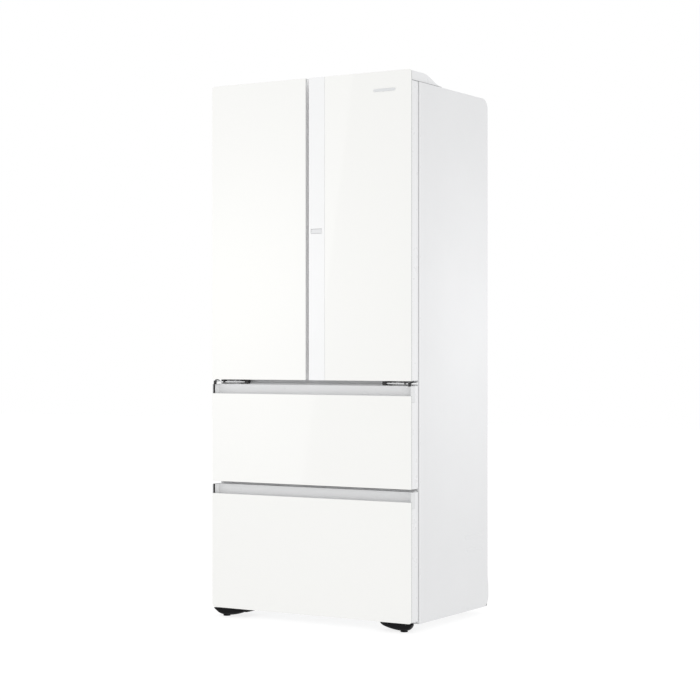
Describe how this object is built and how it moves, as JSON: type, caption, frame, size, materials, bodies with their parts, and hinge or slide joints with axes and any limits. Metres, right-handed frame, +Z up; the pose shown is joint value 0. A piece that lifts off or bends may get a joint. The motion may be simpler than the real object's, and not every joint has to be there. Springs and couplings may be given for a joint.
{
  "type": "french door refrigerator",
  "caption": "Tall white refrigerator with two hinged glass-fronted upper doors and two full-width drawers with recessed grips below.",
  "frame": {"origin": "centre of the bounding box on the floor plane, under the cabinet", "axes": "+Z up, -Y out of the doors, +X to the right as the user faces the doors"},
  "size_m": [0.776, 0.56, 1.8],
  "materials": {
    "white_glass": "back-painted white glass, glossy",
    "white_paint": "white powder coat, satin",
    "white_trim": "moulded white, satin gloss",
    "grip_grey": "light silver grey, satin",
    "liner_white": "vacuum-formed white liner",
    "clear_plastic": "clear moulded plastic",
    "shelf_glass": "clear toughened glass with moulded trim",
    "gasket_grey": "soft light grey seal",
    "black_plastic": "black moulded plastic, fine grain",
    "zinc_steel": "zinc-plated sheet steel",
    "foam": "rigid foam, cut surface",
    "machine_black": "black enamel",
    "coil_black": "black enamel on tube and fins",
    "key_grey": "light grey key cap"
  },
  "bodies": {
    "cabinet": {"side_panel_left": "white_paint", "side_panel_right": "white_paint", "top_panel": "white_paint", "face_frame": "white_paint", "back_panel": "zinc_steel", "machine_bulkhead": "zinc_steel", "base_frame": "zinc_steel", "top_hinge_left": "zinc_steel", "top_hinge_right": "zinc_steel", "middle_hinge_left": "zinc_steel", "middle_hinge_right": "zinc_steel", "rear_cover": "zinc_steel", "foam_insulation": "foam", "room_liner": "liner_white", "drawer_liner": "liner_white", "centre_post": "white_trim", "hinge_cover_left": "white_trim", "hinge_cover_right": "white_trim", "shelf_upper": "shelf_glass", "shelf_middle": "shelf_glass", "shelf_lower": "shelf_glass", "crisper_left": "clear_plastic", "crisper_right": "clear_plastic", "compressor": "machine_black", "condenser": "coil_black", "fan_shroud": "black_plastic", "mains_inlet": "black_plastic", "foot_housing_left": "black_plastic", "foot_housing_right": "black_plastic"},
    "fan_rotor": {"fan_rotor": "black_plastic"},
    "levelling_foot_left": {"levelling_foot_left": "black_plastic"},
    "levelling_foot_right": {"levelling_foot_right": "black_plastic"},
    "rear_roller_left": {"rear_roller_left": "black_plastic"},
    "rear_roller_right": {"rear_roller_right": "black_plastic"},
    "left_door": {"left_door_glass": "white_glass", "left_door_body": "white_trim", "left_door_liner": "liner_white", "left_door_gasket": "gasket_grey", "left_door_bin_upper": "clear_plastic", "left_door_bin_lower": "clear_plastic"},
    "right_door": {"right_door_glass": "white_glass", "right_door_body": "white_trim", "right_door_liner": "liner_white", "right_door_gasket": "gasket_grey", "right_door_bin_upper": "clear_plastic", "right_door_bin_lower": "clear_plastic", "right_door_strip": "white_trim"},
    "push_button": {"right_door_button": "key_grey"},
    "upper_drawer": {"upper_drawer_glass": "white_glass", "upper_drawer_body": "white_trim", "upper_drawer_grip": "grip_grey", "upper_drawer_gasket": "gasket_grey", "upper_drawer_frame": "zinc_steel", "upper_drawer_basket": "clear_plastic"},
    "lower_drawer": {"lower_drawer_glass": "white_glass", "lower_drawer_body": "white_trim", "lower_drawer_grip": "grip_grey", "lower_drawer_gasket": "gasket_grey", "lower_drawer_frame": "zinc_steel", "lower_drawer_basket": "clear_plastic"}
  },
  "joints": [
    {"name": "left_door_hinge", "type": "hinge", "parent": "cabinet", "child": "left_door", "pos_m": [-0.378, -0.264, 0.8], "axis": [0, 0, -1], "range_deg": [0, 110]},
    {"name": "right_door_hinge", "type": "hinge", "parent": "cabinet", "child": "right_door", "pos_m": [0.378, -0.264, 0.8], "axis": [0, 0, 1], "range_deg": [0, 110]},
    {"name": "button_press", "type": "slide", "parent": "right_door", "child": "push_button", "axis": [0, 1, 0], "range_m": [0, 0.002], "stiffness_N_per_m": 600},
    {"name": "upper_drawer_slide", "type": "slide", "parent": "cabinet", "child": "upper_drawer", "axis": [0, -1, 0], "range_m": [0, 0.36]},
    {"name": "lower_drawer_slide", "type": "slide", "parent": "cabinet", "child": "lower_drawer", "axis": [0, -1, 0], "range_m": [0, 0.36]},
    {"name": "left_foot_turn", "type": "hinge", "parent": "cabinet", "child": "levelling_foot_left", "pos_m": [-0.346, -0.252, 0.01], "axis": [0, 0, 1], "continuous": true},
    {"name": "right_foot_turn", "type": "hinge", "parent": "cabinet", "child": "levelling_foot_right", "pos_m": [0.346, -0.252, 0.01], "axis": [0, 0, 1], "continuous": true},
    {"name": "left_roller_spin", "type": "hinge", "parent": "cabinet", "child": "rear_roller_left", "pos_m": [-0.296, 0.212, 0.02], "axis": [1, 0, 0], "continuous": true},
    {"name": "right_roller_spin", "type": "hinge", "parent": "cabinet", "child": "rear_roller_right", "pos_m": [0.296, 0.212, 0.02], "axis": [1, 0, 0], "continuous": true},
    {"name": "fan_spin", "type": "hinge", "parent": "cabinet", "child": "fan_rotor", "pos_m": [-0.06, 0.16, 0.128], "axis": [1, 0, 0], "continuous": true}
  ]
}
